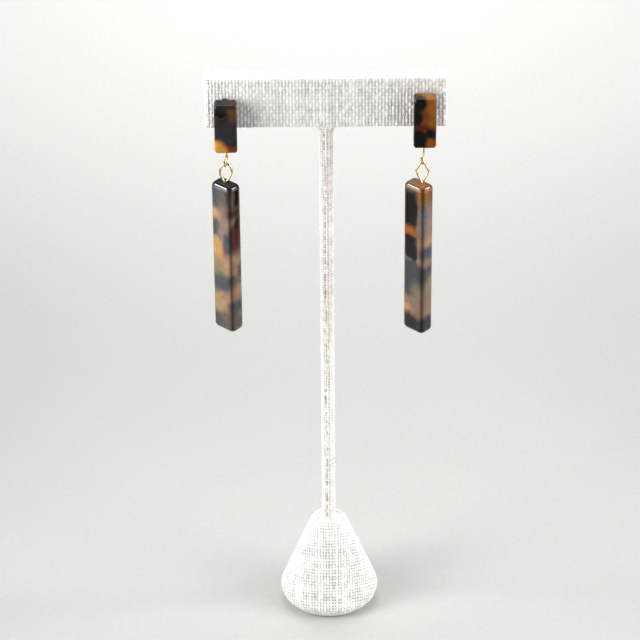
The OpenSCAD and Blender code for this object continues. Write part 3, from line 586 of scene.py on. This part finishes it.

# The clouds on each side of a bar, later ones over earlier ones: place across from the side's left edge,
# place down from the bar's top, half width, half height, softness of the rim and tone, in mm. "front" is
# the wide side and "right" the narrow one, and on "top" down goes from front to back. A cloud with a rim
# under 0.15 is a chip of sheet that kept its cut edges, and one laid twice has a harder rim.
# Each bar's edge darkening is a painted reflection: a dark line painted along its rounded edges
barSpec = {
    "leftStud": {
        "node": "left_stud_bar", "body": "stand", "size": (5.8, 4.2), "edge": 0.8, "turn": 0, "rim": 0.35,
        "tone": "ink", "seed": 11,
        "clouds": {
            "front": [
                (2.9, 0.8, 4.0, 1.1, 0.5, "coal"), (1.8, 2.5, 1.8, 0.4, 0.4, "ink"),
                (5.0, 2.9, 1.7, 2.8, 0.8, "umber"), (4.8, 1.6, 1.2, 1.4, 0.9, "russet"),
                (4.7, 3.6, 1.0, 1.3, 1.0, "russet"), (2.6, 8.2, 3.9, 3.9, 0.4, "graphite"),
                (4.7, 13.6, 2.4, 1.5, 0.7, "rust"), (-0.5, 14.7, 4.1, 4.7, 0.2, "honey"),
                (3.4, 14.3, 3.4, 0.75, 0.5, "ember")],
            "top": [(2.9, 2.1, 4.5, 3.2, 0.3, "coal"), (4.9, 1.2, 1.3, 1.8, 0.8, "umber")]}},
    "rightStud": {
        "node": "right_stud_bar", "body": "stand", "size": (5.8, 4.2), "edge": 0.8, "turn": 0, "rim": 0.35,
        "tone": "umber", "seed": 12,
        "clouds": {
            "top": [(2.9, 2.1, 4.5, 3.2, 0.6, "amber"), (0.9, 1.2, 1.3, 1.8, 0.8, "umber")],
            "front": [
                (4.3, 4.2, 2.5, 6.0, 0.5, "amber"), (4.6, 1.6, 0.9, 1.6, 1.0, "copper"),
                (2.9, 5.9, 1.0, 3.0, 0.8, "rust"), (1.8, 1.15, 1.4, 2.1, 0.4, "ink"),
                (0.9, 5.3, 1.3, 2.2, 0.45, "ink"), (1.6, 8.1, 2.4, 0.9, 0.6, "oxblood"),
                (4.8, 12.2, 1.5, 1.9, 0.6, "copper"), (5.2, 10.2, 0.9, 1.9, 0.8, "umber"),
                (4.0, 9.9, 1.1, 1.5, 0.5, "ink"), (1.7, 11.7, 1.8, 2.7, 0.35, "ink"),
                (4.0, 14.4, 2.4, 0.5, 0.6, "oxblood")]}},
    "leftDrop": {
        "node": "left_drop_bar", "body": "left_drop", "size": (7.1, 4.7), "edge": 1.5, "turn": 42, "rim": 0.74,
        "tone": "tan", "seed": 13,
        "clouds": {
            "front": [
                (3.4, 9.0, 4.6, 3.8, 0.5, "sand"), (2.2, 9.0, 1.7, 1.7, 0.9, "peach"),
                (2.4, 2.6, 4.6, 4.4, 0.4, "slate"), (5.4, 3.6, 2.2, 4.0, 0.9, "smoke"),
                (5.2, 9.6, 1.8, 3.4, 0.9, "blush"), (1.7, 13.1, 1.9, 2.7, 0.4, "slate"),
                (4.3, 13.6, 1.5, 3.0, 0.8, "blush"), (4.5, 19.6, 0.9, 1.9, 0.6, "rust"),
                (6.1, 17.1, 1.6, 3.5, 0.4, "slate"), (1.9, 20.0, 2.3, 3.6, 0.5, "peach"),
                (2.2, 20.2, 1.4, 3.0, 1.0, "straw"), (3.2, 24.8, 4.0, 2.9, 0.8, "olive"),
                (5.6, 23.4, 1.8, 2.2, 0.8, "sand"), (3.4, 29.9, 4.8, 3.0, 0.5, "slate"),
                (3.2, 36.2, 4.4, 3.4, 0.6, "sand"), (1.2, 37.2, 1.7, 2.2, 1.0, "moss"),
                (1.6, 42.0, 3.2, 2.8, 0.6, "slate"), (5.6, 41.4, 2.2, 3.0, 0.8, "smoke"),
                (3.5, 45.6, 5.0, 1.7, 0.7, "ink")],
            "top": [(3.5, 2.3, 6.0, 4.0, 0.3, "coal")],
            "right": [
                (2.5, 3.0, 3.2, 3.6, 0.3, "ink"), (0.8, 4.0, 0.9, 2.8, 0.8, "smoke"),
                (2.2, 8.0, 3.2, 1.6, 0.8, "umber"), (3.0, 11.2, 1.8, 1.8, 0.5, "ink"),
                (2.1, 16.4, 1.6, 4.4, 0.4, "oxblood"), (4.4, 15.8, 0.9, 5.2, 0.4, "ink"),
                (1.4, 23.6, 2.2, 3.4, 0.5, "sand"), (4.0, 26.0, 1.5, 3.0, 0.5, "slate"),
                (0.8, 28.8, 1.9, 2.0, 0.5, "slate"), (2.8, 32.0, 2.6, 3.0, 0.5, "sand"),
                (2.4, 36.4, 3.4, 2.0, 0.5, "slate"), (2.0, 41.2, 3.2, 3.2, 0.8, "smoke")]}},
    "rightDrop": {
        "node": "right_drop_bar", "body": "right_drop", "size": (7.1, 4.7), "edge": 1.5, "turn": 43, "rim": 0.74,
        "tone": "tan", "seed": 14,
        "clouds": {
            "front": [
                (6.3, 9.0, 1.8, 10.0, 0.5, "bark"), (7.0, 1.3, 0.7, 2.6, 0.8, "copper"),
                (2.4, 6.4, 3.0, 6.4, 0.13, "ink"), (1.2, -0.4, 3.2, 2.0, 0.8, "olive"),
                (2.4, 13.9, 3.3, 1.9, 0.5, "rust"), (2.8, 13.8, 1.7, 1.0, 1.0, "copper"),
                (3.2, 18.7, 2.1, 3.4, 0.12, "ink"), (0.4, 18.6, 0.9, 3.2, 0.6, "oxblood"),
                (3.1, 28.4, 4.8, 6.1, 0.2, "lead"), (3.2, 18.7, 2.1, 3.4, 0.12, "ink"),
                (5.6, 33.4, 2.2, 3.4, 0.9, "olive"), (3.1, 37.0, 4.8, 2.6, 0.8, "tan"),
                (1.4, 37.8, 1.6, 1.2, 0.9, "peach"), (3.1, 42.9, 5.0, 3.4, 0.35, "coal")],
            "right": [
                (2.4, 2.6, 3.2, 4.6, 0.7, "russet"), (0.9, 1.2, 1.7, 3.0, 0.9, "amber"),
                (2.4, 12.0, 3.6, 6.6, 0.5, "blush"), (1.2, 8.0, 1.2, 1.8, 0.9, "dove"),
                (2.4, 16.6, 3.2, 1.8, 0.9, "sand"), (2.4, 20.0, 3.6, 2.1, 0.5, "slate"),
                (2.6, 23.2, 2.2, 1.4, 0.7, "blush"), (2.4, 26.2, 3.6, 2.3, 0.6, "lead"),
                (3.4, 29.6, 1.6, 2.6, 0.9, "olive"), (2.4, 36.0, 3.6, 4.4, 0.6, "tan"),
                (2.4, 42.9, 4.0, 3.4, 0.35, "graphite")],
            "top": [(2.4, 2.3, 4.8, 3.8, 0.5, "bark"), (5.9, 1.6, 3.0, 3.0, 0.9, "amber")]}},
}
# How the tones are laid, in mm: the warp draws every rim out of true, a share of it finely, and a cloud
# reaches in from its side as deep as it is wide, up to the deepest. Where the camera can't see, stray
# tones go on at random, each from its level of the noise up.
# How far the painted dark line along the edges reaches, in mm, is given here too
toneSpec = {"warp": 0.5, "warpScale": 2.6, "fineShare": 0.2, "fineScale": 0.9, "chipBelow": 0.15, "chipWarp": 0.25,
            "chipPower": 7.0, "cloudPower": 2.3, "deepest": 1.9, "depthFrom": 0.3, "depthShare": 1.3, "topDepth": 1.0,
            "edgeShadeReach": 0.55, "strayScale": (3.0, 3.0, 5.5), "strayRim": 0.06, "noiseSeed": 1,
            "darkStrays": ((0.0, "umber"), (0.12, "ink")),
            "paleStrays": ((-0.25, "sand"), (0.05, "smoke"), (0.16, "umber"), (0.26, "ink"))}
barShape = {"grid": 0.22, "crown": 0.05}
noise.seed_set(toneSpec["noiseSeed"])  # noise_vector takes its offsets from this, so each run is the same


# Tone of every point of a bar: the clouds one over another
def pigmentOf(spec, local, toEdge, tall):
    wide, deep = spec["size"]
    seed = Vector((spec["seed"] * 3.7, 0, 0))
    bent = 0
    for scale, share in ((toneSpec["warpScale"], 1), (toneSpec["fineScale"], toneSpec["fineShare"])):
        bent = bent + np.array([noise.noise_vector(Vector(p) / scale + seed) for p in local]) * toneSpec["warp"] * share
    blot = np.array([noise.noise(Vector(p / toneSpec["strayScale"]) + seed * 1.7) for p in local])
    tones = {name: np.array(linear(tone)[:3]) for name, tone in acetateTones.items()}
    colour = np.tile(tones[spec["tone"]], (len(local), 1))
    for level, name in toneSpec["darkStrays" if spec["tone"] in ("ink", "umber") else "paleStrays"]:
        share = np.clip((blot - level) / toneSpec["strayRim"], 0, 1)[:, None]
        colour = colour * (1 - share) + tones[name] * share
    for side, clouds in spec["clouds"].items():
        for across, down, halfWide, halfTall, soft, name in clouds:
            depth = min(toneSpec["deepest"], toneSpec["depthFrom"] + toneSpec["depthShare"] * halfWide)
            if side == "front":
                centre, reach = (across - wide / 2, -deep / 2, tall / 2 - down), (halfWide, depth, halfTall)
            elif side == "right":
                centre, reach = (wide / 2, across - deep / 2, tall / 2 - down), (depth, halfWide, halfTall)
            else:
                centre = (across - wide / 2, down - deep / 2, tall / 2)
                reach = (halfWide, halfTall, toneSpec["topDepth"])
            chip = soft < toneSpec["chipBelow"]
            power = toneSpec["chipPower" if chip else "cloudPower"]
            away = np.abs((local + bent * (toneSpec["chipWarp"] if chip else 1.0) - centre) / reach)
            away = (away ** power).sum(1) ** (1 / power)
            share = np.clip((1 + soft - away) / (2 * soft), 0, 1)
            share = (share * share * (3 - 2 * share))[:, None]
            colour = colour * (1 - share) + tones[name] * share
    # Painted reflection: a dark line painted along every rounded edge, for the dark room seen in the polished rounding
    colour = colour * (1 - spec["rim"] * np.exp(-(toEdge / toneSpec["edgeShadeReach"]) ** 2))[:, None]
    return np.concatenate([colour, np.ones((len(colour), 1))], 1)


for name, spec in barSpec.items():
    low, high = (Vector(corner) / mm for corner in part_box(spec["node"]))
    tall = high.z - low.z
    sharp, local, faces = roundedBlock((*spec["size"], tall), spec["edge"], barShape["grid"])
    # Tumbling leaves each flat side a little full in the middle
    half = np.array((*spec["size"], tall)) / 2
    side = np.argmax(np.abs(sharp) / half, axis=1)
    for axis in range(3):
        rest = [a for a in range(3) if a != axis]
        full = np.prod(1 - np.clip(np.abs(local[:, rest]) / (half[rest] - spec["edge"] * 0.5), 0, 1) ** 2, axis=1)
        local[:, axis] += np.where(side == axis, np.sign(local[:, axis]) * full * barShape["crown"], 0)
    turned = local @ np.array(Matrix.Rotation(math.radians(-spec["turn"]), 3, "Z")).T
    bar = newObject(name + "Acetate", (turned + np.array(low + high) / 2) * mm, faces)
    toEdge = np.sort(half - np.abs(sharp), axis=1)[:, 1]
    keepOnPoints(bar, "pigment", "FLOAT_COLOR", pigmentOf(spec, local, toEdge, tall))
    bar.data.materials.append(acetate)
    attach(bar, spec["body"])
    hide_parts(spec["node"])
print("bars shaped and coloured")

# Each metal with the grain that its making leaves, drawn in mm: gold-plated wire bent by hand round
# pliers is bright and warm, with drawing lines along it; stainless steel, turned and lightly brushed
# round, is cool grey with a faint ring grain; and grey iron, sand cast, is dull and dark with a rough
# skin, hidden inside the base.
metalSpec = {
    "goldPlatedWireDrawn": {
        "grain": 0.5, "detail": 3.0, "bump": 0.2, "height": 0.02, "roughness": 0.12,
        "tones": ((0.35, "#cfb084"), (0.65, "#efd9b4"))},
    "stainlessSteelTurned": {
        "grain": 0.15, "detail": 2.0, "bump": 0.2, "height": 0.01, "roughness": 0.3,
        "tones": ((0.3, "#8d9093"), (0.7, "#b4b6b9"))},
    "greyIronSandCast": {
        "grain": 0.8, "detail": 5.0, "bump": 0.5, "height": 0.1, "roughness": 0.65,
        "tones": ((0.3, "#3a3b3d"), (0.7, "#55565a"))},
}
metals = {}
for name, spec in metalSpec.items():
    metals[name], tree = newMaterial(name)
    where = addNode(tree, "TexCoord")
    grain = addNode(tree, "TexNoise", {
        "Vector": where.outputs["Object"], "Scale": 1 / (spec["grain"] * mm), "Detail": spec["detail"]})
    bump = addNode(tree, "Bump", {
        "Height": grain.outputs["Fac"], "Strength": spec["bump"], "Distance": spec["height"] * mm})
    tone = addNode(tree, "ValToRGB", {"Fac": grain.outputs["Fac"]},
                   stops=[(level, linear(colour)) for level, colour in spec["tones"]])
    skin = addNode(tree, "BsdfPrincipled", {
        "Base Color": tone, "Metallic": 1.0, "Roughness": spec["roughness"], "Normal": bump})
    addNode(tree, "OutputMaterial", {"Surface": skin})

# Bends round wire along a line of points, with closed ends
wireSpec = {"radius": 0.3, "shank": 4}
wirer, given = newShaper("bentWire", {
    "Wire Radius": ("Float", wireSpec["radius"] * mm),
    "Sides": ("Int", 14), "Steps": ("Int", 8), "Material": ("Material", None)})
path = addNode(wirer, "GeometryNodeMeshToCurve", {"Mesh": given["Geometry"]})
smoothPath = addNode(wirer, "GeometryNodeCurveSplineType", {"Curve": path}, spline_type="CATMULL_ROM")
finer = addNode(wirer, "GeometryNodeSetSplineResolution", {"Geometry": smoothPath, "Resolution": given["Steps"]})
section = addNode(wirer, "GeometryNodeCurvePrimitiveCircle", {
    "Resolution": given["Sides"], "Radius": given["Wire Radius"]})
drawnWire = addNode(wirer, "GeometryNodeCurveToMesh", {"Curve": finer, "Profile Curve": section, "Fill Caps": True})
whole = addNode(wirer, "GeometryNodeRealizeInstances", {"Geometry": drawnWire})
plated = addNode(wirer, "GeometryNodeSetMaterial", {"Geometry": whole, "Material": given["Material"]})
addNode(wirer, "NodeGroupOutput", {"Geometry": plated})

# Each eye's line from its free end round the loop and down its shank: across the loop, towards the
# front, and out from the bar's end, in mm. A stud's eye hangs and is seen edge on, a drop's stands.
eyeSpec = {
    "leftStudEye": {"node": "left_stud_eye", "body": "stand", "hangs": True, "turn": 78, "line": [
        (-0.75, 0.3, 0.45), (-1.1, 0.1, 1.3), (-1.5, 0, 2.7), (-1.1, 0, 4.0), (0, 0, 4.7), (1.1, 0, 4.0),
        (1.5, 0, 2.7), (1.0, 0, 1.3), (0.15, 0, 0.35), (0, 0, -0.6), (0, 0, -3.6)]},
    "rightStudEye": {"node": "right_stud_eye", "body": "stand", "hangs": True, "turn": 80, "line": [
        (-0.7, 0.3, 0.45), (-1.0, 0.1, 1.4), (-1.5, 0, 3.0), (-0.9, 0, 4.65), (0, 0, 5.5), (0.9, 0, 4.65),
        (1.5, 0, 3.0), (0.9, 0, 1.4), (0.15, 0, 0.35), (0, 0, -0.6), (0, 0, -3.6)]},
    "leftDropEye": {"node": "left_drop_eye", "body": "left_drop", "hangs": False, "turn": 0, "line": [
        (-0.35, 0.5, 0.3), (-0.75, 0.35, 0.9), (-1.5, 0, 2.5), (-1.4, 0, 4.0), (-0.85, 0, 5.1), (0, 0, 5.5),
        (0.85, 0, 5.1), (1.4, 0, 4.0), (1.5, 0, 3.0), (1.0, 0.3, 1.7), (0.3, 0.35, 0.7), (0, 0.1, -0.2), (0, 0, -1.4),
        (0, 0, -3.6)]},
    "rightDropEye": {"node": "right_drop_eye", "body": "right_drop", "hangs": False, "turn": 0, "line": [
        (-0.1, 0.6, 0.3), (-0.55, 0.35, 1.2), (-1.5, 0, 3.5), (-1.35, 0, 4.2), (-0.45, 0, 5.8), (0, 0, 6.3),
        (0.5, 0, 5.8), (1.4, 0, 4.0), (1.5, 0, 3.3), (0.85, 0.2, 1.7), (0.2, 0.25, 0.6), (0, 0.1, -0.2), (0, 0, -1.4),
        (0, 0, -3.6)]},
}
hangAt = sum(corner.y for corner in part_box("left_drop_bar")) / 2 / mm
for name, spec in eyeSpec.items():
    low, high = (Vector(corner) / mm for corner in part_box(spec["node"]))
    middle = (low.x + high.x) / 2
    line = np.array(spec["line"])
    # The shank reaches into the bar, so the bar's end is that far from the node's
    end = high.z - wireSpec["shank"] if spec["hangs"] else low.z + wireSpec["shank"]
    angle = math.radians(spec["turn"])
    sideways, ahead = line[:, 0], -line[:, 1]
    places = np.stack([
        middle + sideways * math.cos(angle) - ahead * math.sin(angle),
        hangAt + sideways * math.sin(angle) + ahead * math.cos(angle),
        end + line[:, 2] * (-1 if spec["hangs"] else 1)], -1)
    guide = newObject(name + "Guide", places * mm, [], [(n, n + 1) for n in range(len(places) - 1)])
    eye = shapeWith(wirer, guide, name + "Wire", {"Material": metals["goldPlatedWireDrawn"]})
    bpy.data.objects.remove(guide)
    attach(eye, spec["body"])
    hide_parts(spec["node"])
print("wire eyes bent")

for node, name in (("left_ear_post", "stainlessSteelTurned"), ("right_ear_post", "stainlessSteelTurned"),
                   ("base_weight", "greyIronSandCast")):
    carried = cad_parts[node]
    carried.data.materials.clear()
    carried.data.materials.append(metals[name])
print("posts and weight finished")
